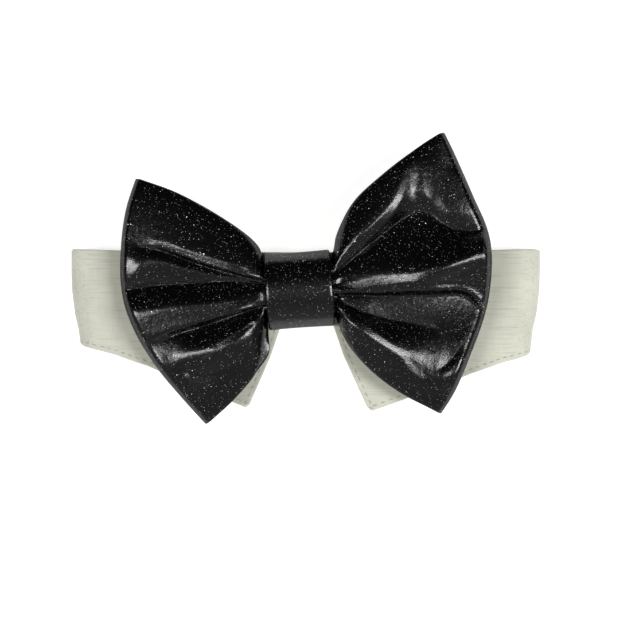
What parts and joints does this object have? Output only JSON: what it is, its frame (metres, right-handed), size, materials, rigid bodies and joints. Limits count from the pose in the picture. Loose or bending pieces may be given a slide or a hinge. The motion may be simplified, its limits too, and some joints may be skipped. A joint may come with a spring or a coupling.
{
  "type": "dog bow tie on a shirt collar",
  "caption": "Gathered bow of black glitter vinyl with a band knot, on a pale shirt collar with pointed leaves whose neckband closes in a loop round a dog's neck, lying face up.",
  "frame": {"origin": "middle of the object's plan outline, on the surface that it lies on", "axes": "+X along the collar to the viewer's right, +Y from the hem up to the collar's top edge, +Z away from the surface, out of the front of the bow"},
  "size_m": [0.1544, 0.095, 0.033],
  "materials": {
    "glitter_vinyl": "soft black vinyl with fine silver glitter under a clear coat",
    "collar_cloth": "off-white woven cotton with very fine ribs, topstitched at the hem",
    "closure_cloth": "pale matt hook-and-loop tape"
  },
  "bodies": {
    "root": {"bow_wing_left": "glitter_vinyl", "bow_wing_right": "glitter_vinyl", "knot_band": "glitter_vinyl", "collar_leaf_left": "collar_cloth", "collar_leaf_right": "collar_cloth", "collar_band": "collar_cloth", "closure_patch": "closure_cloth"}
  },
  "joints": []
}
